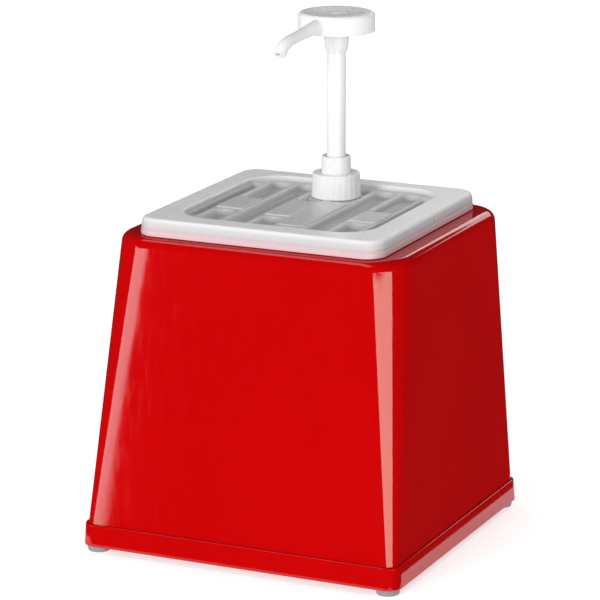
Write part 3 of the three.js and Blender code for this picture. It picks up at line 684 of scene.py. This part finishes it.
def make_lid():
    """One sweep from under the tray out to the rim's foot, then over the top into the tray."""
    bottom = LID_LOW.z
    wall = 1.8
    side = [
        (wall, bottom, 0),
        (0, bottom, 0.4),
        (0.1, bottom + 3.6, 0.5),
        (0.6, bottom + 4.2, 0.4),
        (0.6, bottom + 4.9, 0.3),
        (0.3, bottom + 5.4, 0.3),
        (1.3, LID_TOP, 3.2),
        (8, LID_TOP, 0),
    ]
    into = [(-6, LID_TOP, 0), (0, LID_TOP, 1.6), (1.6, RIB_TOP, 1.2), (6, RIB_TOP, 0)]
    under = [(20, RECESS_FLOOR - wall, 0), (-1, RECESS_FLOOR - wall, 0.8), (-wall, LID_TOP - wall, 0)]
    rings = [recess_ring(z, inset) for inset, z in soften(under)]
    rings += [lid_ring(LID_TOP - wall, 1.3 + wall), lid_ring(bottom + 2, 1 + wall)]
    rings += [lid_ring(z, inset) for inset, z in soften(side)]
    rings += [recess_ring(z, inset) for inset, z in soften(into)]
    lid = loft("lid_moulding", rings)
    combine(lid, "DIFFERENCE", *lid_channels())
    combine(lid, "UNION", *lid_pads())
    combine(lid, "DIFFERENCE", lid_clearance())
    combine(lid, "UNION", lid_neck())
    bore = lathe("bore", [(0, 200), (NECK_BORE, 200), (NECK_BORE, 240), (0, 240)])
    combine(lid, "DIFFERENCE", bore)
    mark_depth(lid)
    place(finish_surface(lid), "lid", "lid_clear")


def rib_x(i):
    return (i - (RIB_COUNT - 1) / 2) * RIB_PITCH


def channel(x0, x1, front, back):
    """A cutter for one trough between two ridges: round ends, sides that curve up to the crests."""
    width = x1 - x0
    depth = back - front
    middle = Vector(((x0 + x1) / 2, 0, 0))
    corner = min(width, depth) / 2 * 0.9
    profile = soften(
        [
            (6.5, RECESS_FLOOR, 0),
            (4.2, RECESS_FLOOR, 2.2),
            (1.6, RIB_TOP - 0.6, 3.0),
            (-0.5, RIB_TOP + 0.05, 0),
            (-0.5, RIB_TOP + 2, 0),
        ]
    )
    squeeze = min(1, min(width, depth) / 2 / 7.5)
    rings = []
    for inset, z in profile:
        ring = rounded_rectangle(width, depth, (front + back) / 2, corner, z, inset * squeeze)
        rings.append([point + middle for point in ring])
    return loft("channel", rings)


def lid_channels():
    """Troughs between the ridges, split where a pad bridges them, and one along each side."""
    front = RECESS_Y - RECESS_DEPTH / 2 + 3
    back = RECESS_Y + RECESS_DEPTH / 2 - 5
    half = CREST_WIDTH / 2
    channels = []
    for bay in range(RIB_COUNT - 1):
        x0 = rib_x(bay) + half
        x1 = rib_x(bay + 1) - half
        pad = LID_PADS.get(bay)
        stretches = [(front, back)] if pad is None else [(front, pad[0]), (pad[1], back)]
        for low, high in stretches:
            channels.append(channel(x0, x1, low, high))
    edge = RECESS_WIDTH / 2 - 0.8
    for side in (-1, 1):
        x0, x1 = sorted((side * edge, side * (rib_x(RIB_COUNT - 1) + half)))
        channels.append(channel(x0, x1, front + 14, back - 12))
    return channels


def mark_depth(piece):
    """Stores on each point how deep it lies in the tray and how far down the lid's side, 0 to 1: masks
    for the lid's painted shade.
    """
    painted_recess_shade, side = [], []
    for vertex in piece.data.vertices:
        x, y, z = vertex.co / MM
        inside = abs(x) < RECESS_WIDTH / 2 and abs(y - RECESS_Y) < RECESS_DEPTH / 2
        # Painted shade mask: deeper in the tray reads greyer in the lid's colour.
        depth = math.sqrt(max(LID_TOP - 0.3 - z, 0) / (LID_TOP - RECESS_FLOOR))
        # Painted shade mask: further down the lid's side reads greyer.
        down = (LID_TOP - z) / 3.2
        painted_recess_shade.append(min(depth, 1) if inside else 0.0)
        side.append(0.0 if inside else min(down, 1))
    piece.data.attributes.new("painted_recess_shade", "FLOAT", "POINT").data.foreach_set("value", painted_recess_shade)
    piece.data.attributes.new("side", "FLOAT", "POINT").data.foreach_set("value", side)


def lid_pads():
    """Low raised plates on the bridged bays."""
    pads = []
    for bay, (front, back) in LID_PADS.items():
        x0 = rib_x(bay) - 0.4
        x1 = rib_x(bay + 1) + 0.4
        middle = Vector(((x0 + x1) / 2, 0, 0))
        top = RIB_TOP + PAD_HEIGHT
        profile = soften([(0, RIB_TOP - 0.5, 0), (0.3, top, 0.6), (2.5, top, 0)], steps=4)
        rings = []
        for inset, z in profile:
            ring = rounded_rectangle(x1 - x0, back - front - 1.6, (front + back) / 2, 3, z, inset)
            rings.append([point + middle for point in ring])
        pads.append(loft("pad", rings))
    return pads


def lid_clearance():
    """A cutter that leaves a flat boss under the screw cap, with a soft edge."""
    corners = [
        (0, BOSS_TOP, 0),
        (BOSS_RADIUS - 1.4, BOSS_TOP, 1.5),
        (BOSS_RADIUS + 0.6, RIB_TOP + PAD_HEIGHT, 0),
        (BOSS_RADIUS + 0.6, RIB_TOP + 3, 0),
        (0, RIB_TOP + 3, 0),
    ]
    return lathe("clearance", soften(corners))


def lid_neck():
    """The boss and the neck, with the thread shown as separate rings."""
    corners = [
        (0, RECESS_FLOOR - 1.5, 0),
        (BOSS_RADIUS + 1, RECESS_FLOOR - 1.5, 0),
        (BOSS_RADIUS + 1, RECESS_FLOOR + 0.2, 0.5),
        (BOSS_RADIUS - 1.2, BOSS_TOP, 0.9),
        (NECK_RADIUS, BOSS_TOP, 0.4),
    ]
    for turn in range(3):
        z = THREAD_START + THREAD_PITCH * turn
        corners += [(NECK_RADIUS, z, 0.1), (NECK_RADIUS + 0.6, z + 0.6, 0.2), (NECK_RADIUS, z + 1.2, 0.1)]
    corners += [(NECK_RADIUS, NECK_TOP, 0.5), (0, NECK_TOP, 0)]
    return lathe("neck", soften(corners, steps=4))


# ---------------------------------------------------------------- pump below the head


def make_cap():
    """The screw cap: shallow rounded grip ribs between two plain bands."""
    bottom, top = CAP_LOW.z, CAP_HIGH.z
    foot_radius = (CAP_HIGH.x - CAP_LOW.x) / 2
    side = soften(
        [
            (foot_radius - 0.9, bottom, 0),
            (foot_radius, bottom, 0.4),
            (foot_radius, bottom + 1.4, 0),
            (foot_radius - 0.15, bottom + 2.2, 0),
            (foot_radius - 0.75, top - 1.7, 0),
            (foot_radius - 0.8, top, 1.1),
            (CYLINDER_BORE, top, 0.4),
            (CYLINDER_BORE, top - 1.2, 0),
            (CAP_BORE, top - 1.2, 0.4),
            (CAP_BORE, bottom, 0),
        ]
    )
    steps = 8
    count = CAP_RIBS * steps
    rings = []
    for radius, z in side:
        ribbed = bottom + 2 < z < top - 1.2 and radius > foot_radius - 1.5
        ring = []
        for i in range(count):
            angle = i / count * TURN
            dip = CAP_RIB_DIP * math.sin(angle * CAP_RIBS / 2) ** 8 if ribbed else 0
            reach = radius - dip
            ring.append(Vector((reach * math.cos(angle), PUMP_Y + reach * math.sin(angle), z)))
        rings.append(ring)
    cap = loft("cap", rings, closed=True)
    place(finish_surface(cap), "screw_cap", "pump_white")


def plain_ring(name, bore, low, high, edge=0.3):
    """A ring with softened edges, from a CAD node's box."""
    radius = (high.x - low.x) / 2
    corners = [(bore, low.z, edge), (radius, low.z, edge), (radius, high.z, edge), (bore, high.z, edge)]
    return lathe(name, soften(corners, closed=True))


def make_gasket():
    gasket = plain_ring("gasket", NECK_BORE, GASKET_LOW, GASKET_HIGH, 0.25)
    place(finish_surface(gasket), "neck_gasket", "seal_soft")


def make_cylinder():
    """The barrel with its flange, inlet well, spigot and three low bands."""
    flange = (CYLINDER_HIGH.x - CYLINDER_LOW.x) / 2
    radius = CYLINDER_RADIUS
    top = CYLINDER_HIGH.z
    corners = [
        (2.6, CYLINDER_LOW.z, 0.3),
        (4.2, CYLINDER_LOW.z, 0.4),
        (4.6, CYLINDER_LOW.z + 3, 0.4),
        (4.6, 116, 0.4),
        (6.4, 116, 0.5),
        (radius, 120, 2.0),
    ]
    for band in (135, 170, 205):
        corners += [(radius - 0.5, band, 0.3), (radius, band + 0.8, 0.3)]
        corners += [(radius, band + 2.4, 0.3), (radius - 0.5, band + 3.2, 0.3)]
    corners += [
        (radius - 0.5, top - 1.6, 0.4),
        (flange, top - 1.6, 0.3),
        (flange, top, 0.3),
        (CYLINDER_BORE, top, 0.4),
        (CYLINDER_BORE, 130, 0.8),
        (4.2, 130, 0.4),
        (4.2, 120.5, 0.2),
        (2.6, 120.5, 0.2),
    ]
    barrel = lathe("cylinder_barrel", soften(corners, closed=True, steps=4))
    place(finish_surface(barrel), "pump_cylinder", "pump_white")


def make_collar():
    """The collar: a flange under the cap's roof and a sleeve that guides the stem."""
    flange = (COLLAR_HIGH.x - COLLAR_LOW.x) / 2
    low, top = COLLAR_LOW.z, COLLAR_HIGH.z
    corners = [
        (8.5, low, 0.3),
        (SLEEVE_RADIUS, low, 0.3),
        (SLEEVE_RADIUS, COLLAR_FLANGE, 0.3),
        (flange, COLLAR_FLANGE, 0.3),
        (flange, COLLAR_FLANGE_TOP, 0.3),
        (SLEEVE_RADIUS, COLLAR_FLANGE_TOP, 0.4),
        (SLEEVE_RADIUS, top - 4.5, 0.1),
        (9.85, top - 4.2, 0.1),
        (9.85, top, 0.6),
        (STEM_RADIUS + 1.9, top, 0.5),
        (STEM_RADIUS + 1.5, top - 1.6, 0.3),
        (STEM_RADIUS + 0.3, top - 2.0, 0.3),
        (STEM_RADIUS + 0.3, 232, 0.2),
        (8.5, 232, 0.2),
    ]
    collar = lathe("collar", soften(corners, closed=True, steps=4))
    place(finish_surface(collar), "locking_collar", "pump_white")


def make_stem_seal():
    low, high = SEAL_LOW.z, SEAL_HIGH.z
    corners = [
        (6.6, low + 0.6, 0.2),
        (7.4, low, 0.3),
        (8.2, low + 0.6, 0.2),
        (8.2, high, 0.3),
        (6.6, high, 0.3),
    ]
    seal = lathe("stem_seal_ring", soften(corners, closed=True, steps=4))
    place(finish_surface(seal), "stem_seal", "seal_soft")


def make_dip_tube():
    """A plain tube, cut at a slant at its foot."""
    corners = [
        (TUBE_BORE, 70, 0),
        (TUBE_RADIUS, 70, 0),
        (TUBE_RADIUS, TUBE_HIGH.z, 0.4),
        (TUBE_BORE, TUBE_HIGH.z, 0.3),
    ]
    pipe = lathe("dip_tube_pipe", soften(corners, closed=True, steps=3))
    knife = bmesh.new()
    slant = Matrix.Translation((0, PUMP_Y, 78)) @ Matrix.Rotation(math.radians(-30), 4, "X")
    bmesh.ops.create_cube(knife, size=1, matrix=slant @ Matrix.Diagonal((30, 30, 6.2, 1)))
    blade = new_object("blade", knife)
    under = lathe("under", [(0, 60), (20, 60), (20, TUBE_LOW.z), (0, TUBE_LOW.z)])
    combine(pipe, "DIFFERENCE", blade, under)
    place(finish_surface(pipe), "dip_tube", "tube_clear")


def make_retainer():
    """A disc with three holes, which keeps the inlet ball in its well."""
    low, high = RETAINER_LOW.z, RETAINER_HIGH.z
    radius = (RETAINER_HIGH.x - RETAINER_LOW.x) / 2
    profile = [(0, low, 0), (radius, low, 0.3), (radius, high, 0.3), (0, high, 0)]
    disc = lathe("retainer_disc", soften(profile))
    hole = [(0, low - 2), (1.7, low - 2), (1.7, high + 2), (0, high + 2)]
    drills = []
    for i in range(3):
        angle = i / 3 * TURN
        x, y = 4.2 * math.cos(angle), PUMP_Y + 4.2 * math.sin(angle)
        drills.append(lathe("drill", hole, y, x, 32))
    combine(disc, "DIFFERENCE", *drills)
    place(finish_surface(disc), "ball_retainer", "pump_white")


def make_spring():
    """A round wire helix whose end turns close up."""
    steps = SPRING_TURNS * 36
    radius = (SPRING_HIGH.x - SPRING_LOW.x) / 2 - SPRING_WIRE
    low = SPRING_LOW.z + SPRING_WIRE
    high = SPRING_HIGH.z - SPRING_WIRE
    path = []
    for i in range(steps + 1):
        share = i / steps
        angle = SPRING_TURNS * TURN * share
        rise = share - math.sin(TURN * share) / TURN * 0.7
        z = low + rise * (high - low)
        path.append(Vector((radius * math.cos(angle), PUMP_Y + radius * math.sin(angle), z)))
    coil = tube("spring_coil", path, [SPRING_WIRE] * len(path), 14)
    place(finish_surface(coil, math.radians(60)), "return_spring", "steel")
    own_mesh(coil)


def make_ball(node):
    """A ball with a faint band where it seats."""
    low, high = node_box(node)
    radius = (high.z - low.z) / 2
    middle = (low.z + high.z) / 2
    steps = 32
    profile = []
    for i in range(steps + 1):
        angle = i / steps * math.pi - QUARTER
        worn = 0.02 if abs(math.degrees(angle) + 42) < 4 else 0
        size = radius - worn
        at_pole = i in (0, steps)
        profile.append((0 if at_pole else size * math.cos(angle), middle + size * math.sin(angle)))
    place(finish_surface(lathe(node + "_steel", profile, segments=64)), node, "steel")


def make_piston():
    """The piston: two wiping lips, a waist and the plug that the stem turns on."""
    low, high = PISTON_LOW.z, PISTON_HIGH.z
    radius = (PISTON_HIGH.x - PISTON_LOW.x) / 2
    corners = [
        (1.9, low, 0.3),
        (radius - 1.4, low, 0.3),
        (radius - 0.9, low + 0.6, 0.3),
        (radius, low, 0.15),
        (radius - 0.3, low + 3.9, 0.4),
        (8.3, low + 4.2, 0.4),
        (8.3, high - 4.2, 0.4),
        (radius - 0.3, high - 3.9, 0.4),
        (radius, high, 0.15),
        (radius - 0.9, high - 0.6, 0.3),
        (radius - 1.4, high, 0.3),
        (6.8, high, 0.3),
        (6.8, 219.7, 0.3),
        (4.3, 219.7, 0.3),
        (4.3, 225, 0.3),
        (3.3, 225, 0.2),
        (3.3, 217.5, 0.2),
        (1.9, 217.5, 0.2),
    ]
    plug = lathe("piston_moulding", soften(corners, closed=True, steps=4))
    place(finish_surface(plug), "piston", "pump_white")


def make_piston_seal():
    steps = 24
    middle = (PISTON_SEAL_LOW.z + PISTON_SEAL_HIGH.z) / 2
    outer = (PISTON_SEAL_HIGH.x - PISTON_SEAL_LOW.x) / 2
    half = 0.88
    profile = []
    for i in range(steps):
        angle = i / steps * TURN
        profile.append((outer - half + half * math.cos(angle), middle + 1.4 * math.sin(angle)))
    place(finish_surface(lathe("piston_seal_ring", profile)), "piston_seal", "seal_soft")


def make_stem():
    low, high = STEM_LOW.z, STEM_HIGH.z
    corners = [
        (4.6, low, 0.3),
        (STEM_RADIUS, low, 0.5),
        (STEM_RADIUS - 0.1, high, 0.5),
        (4.2, high, 0.3),
        (4.2, 229.8, 0.3),
        (2.1, 227.7, 0.3),
        (2.1, 225.6, 0.2),
        (4.6, 225.6, 0.3),
    ]
    stem = lathe("stem_tube", soften(corners, closed=True, steps=4))
    place(finish_surface(stem), "pump_stem", "pump_white")


# ---------------------------------------------------------------- head


def nozzle_points(past=0.0):
    """The nozzle's centre line: level in the head, falling a little, then bent down to its mouth."""
    rim, bend, aim, turn = (Vector(point) for point in NOZZLE_BEND)
    down = (turn - aim).normalized()
    mouth = turn + down * (NOZZLE_END + past)
    flat = []
    for start, end in ((Vector((2, 0)), rim), (rim, bend)):
        flat += [start.lerp(end, i / 12) for i in range(12)]
    for i in range(24):
        t = i / 24
        flat.append((1 - t) ** 2 * bend + 2 * t * (1 - t) * aim + t * t * turn)
    flat += [turn.lerp(mouth, i / 6) for i in range(7)]
    spin = Matrix.Rotation(math.radians(NOZZLE_ANGLE) - QUARTER, 3, "Z")
    return [spin @ Vector((reach, 0, drop)) + Vector((0, PUMP_Y, NOZZLE_Z)) for reach, drop in flat]


def head_disc():
    """The finger disc: hollow below, slightly dished, with a low ring and button in the middle."""
    top = HEAD_HIGH.z
    corners = [
        (0, top - 2.6, 0),
        (22.4, top - 2.6, 1.2),
        (24, top - 4.2, 0.8),
        (24, HEAD_BOTTOM, 0.4),
        (HEAD_RADIUS, HEAD_BOTTOM, 0.6),
        (HEAD_RADIUS - 0.1, top, 3.3),
        (20, top - 0.05, 8),
        (8, top - 0.75, 4),
        (4.6, top - 0.75, 1.2),
        (3, top - 0.3, 1.2),
        (0, top - 0.2, 0),
    ]
    return lathe("disc", soften(corners))


def head_neck():
    """The neck tapers down to a fine groove and a rounded end on the stem."""
    bottom = HEAD_LOW.z
    corners = [
        (0, bottom, 0),
        (STEM_RADIUS + 0.5, bottom, 0.2),
        (7.7, bottom + 2.2, 0.8),
        (7.7, bottom + 2.8, 0.1),
        (7.95, bottom + 3.1, 0.2),
        (8.3, bottom + 7.5, 2),
        (8.8, HEAD_BOTTOM - 1.2, 1.5),
        (11, HEAD_BOTTOM + 1, 0),
        (10.5, HEAD_BOTTOM + 11, 0),
        (0, HEAD_BOTTOM + 11, 0),
    ]
    return lathe("neck", soften(corners))


def nozzle_radius(point):
    """Thick where it leaves the disc, slimmer halfway, a little wider again at the bend."""
    reach = math.hypot(point.x, point.y - PUMP_Y)
    root = 1 - min(max((reach - HEAD_RADIUS) / 18, 0), 1)
    bend = max((reach - 58) / 14, 0)
    return NOZZLE_RADIUS + 1.1 * root + 0.5 * bend


def make_head():
    """Disc, neck and nozzle fused into one moulding, then bored."""
    path = nozzle_points()
    arm = tube("arm", path, [nozzle_radius(point) for point in path])
    lip = tube("lip", path[-4:], [4.4, 4.7, 4.7, 4.5])
    head = head_disc()
    combine(head, "UNION", head_neck(), arm, lip)
    socket_top = STEM_HIGH.z + 0.3
    socket = lathe("socket", [(0, 300), (6.8, 300), (6.8, socket_top), (0, socket_top)])
    riser = lathe("riser", [(0, 330), (3.4, 330), (3.4, NOZZLE_Z), (0, NOZZLE_Z)])
    bore_path = nozzle_points(past=3)
    bore = tube("bore", bore_path, [NOZZLE_BORE] * len(bore_path))
    combine(head, "DIFFERENCE", socket, riser, bore)
    head.name = "head"
    place(finish_surface(head), "pump_head", "pump_white")


# ---------------------------------------------------------------- stage


def make_floor():
    """A board round the object and the wide floor about it, level with each other."""
    material = floor_white()
    far = 30000
    xs = [-far, -BASE_WIDTH / 2 - 40, BASE_WIDTH / 2 + 21, far]
    ys = [-far, -BASE_DEPTH / 2 - 30, BASE_DEPTH / 2 + 70, far]
    for name, keep in (("board", True), ("floor", False)):
        bm = bmesh.new()
        for i in range(3):
            for j in range(3):
                if ((i, j) == (1, 1)) != keep:
                    continue
                corners = ((xs[i], ys[j]), (xs[i + 1], ys[j]), (xs[i + 1], ys[j + 1]), (xs[i], ys[j + 1]))
                bm.faces.new([bm.verts.new((x, y, 0)) for x, y in corners])
        sheet = new_object(name, bm)
        sheet.data.materials.append(material)
        sheet.visible_glossy = keep


def compass(azimuth, elevation):
    """The unit vector towards a direction given in degrees."""
    a, e = math.radians(azimuth), math.radians(elevation)
    return Vector((math.cos(e) * math.cos(a), math.cos(e) * math.sin(a), math.sin(e)))


def soft_sun(name, azimuth, elevation, strength, spread):
    """A distant light that colours surfaces but does not show in reflections; angles in degrees."""
    data = bpy.data.lights.new(name, "SUN")
    data.energy = strength
    data.angle = math.radians(spread)
    sun = bpy.data.objects.new(name, data)
    sun.rotation_euler = compass(azimuth, elevation).to_track_quat("Z", "Y").to_euler()
    sun.visible_glossy = False
    bpy.context.scene.collection.objects.link(sun)


def panel(name, centre, width, height, radiance, colour=(1, 1, 1)):
    """A light panel turned to the object and seen only in reflections; sizes in metres."""
    data = bpy.data.lights.new(name, "AREA")
    data.color = colour
    data.shape = "RECTANGLE"
    data.size = width
    data.size_y = height
    data.energy = radiance * math.pi * width * height
    lamp = bpy.data.objects.new(name, data)
    lamp.location = centre
    lamp.rotation_euler = (Vector((0, 0, 0.1)) - lamp.location).to_track_quat("-Z", "Y").to_euler()
    lamp.visible_camera = False
    lamp.visible_diffuse = False
    bpy.context.scene.collection.objects.link(lamp)


def make_lights():
    """A broad soft key from the front and a weak fill for the colours, panels for the reflections."""
    soft_sun("key", -100, 12, 1.86, 22)
    soft_sun("side_fill", -25, 9, 0.32, 16)
    panel("near_corner_panel", (1.01, -1.07, 0.1), 1.33, 0.395, 5.8, (1, 0.98, 0.82))
    panel("left_corner_panel", (-1.364, -1.554, 0), 0.958, 0.44, 4.5)
    panel("overhead_panel", (-0.5, -0.5, 2.0), 1.7, 0.6, 1.8)
    panel("rear_panel", (-0.1, 1.75, 0.85), 1.2, 0.3, 2.1)


def make_world():
    """An even soft fill, much darker in reflections, as in a studio hung with black cloth."""
    world = bpy.data.worlds.new("studio")
    bpy.context.scene.world = world
    world.use_nodes = True
    nodes, links = world.node_tree.nodes, world.node_tree.links
    background = nodes["Background"]
    background.inputs["Color"].default_value = (1, 1, 1, 1)
    mirrored = nodes.new("ShaderNodeLightPath").outputs["Is Glossy Ray"]
    level = nodes.new("ShaderNodeMapRange")
    level.inputs["To Min"].default_value = 0.62
    level.inputs["To Max"].default_value = 0.02
    links.new(mirrored, level.inputs["Value"])
    links.new(level.outputs["Result"], background.inputs["Strength"])


def make_camera():
    data = bpy.data.cameras.new("camera")
    data.sensor_width = 36
    data.lens = 194.47
    camera = bpy.data.objects.new("camera", data)
    camera.location = (0.8757, -1.9162, 0.7073)
    camera.rotation_euler = (math.radians(90 - 14.56), 0, math.radians(24.637))
    bpy.context.scene.collection.objects.link(camera)
    bpy.context.scene.camera = camera


# ---------------------------------------------------------------- build

make_housing()
for corner in ("front_left", "front_right", "rear_left", "rear_right"):
    make_foot("foot_" + corner)
make_container()
make_lid()
make_cap()
make_gasket()
make_cylinder()
make_collar()
make_stem_seal()
make_dip_tube()
make_retainer()
make_spring()
make_ball("inlet_ball")
make_piston()
make_piston_seal()
make_ball("outlet_ball")
make_stem()
make_head()

make_floor()
make_lights()
make_world()
make_camera()
bpy.context.scene.view_settings.view_transform = "Standard"
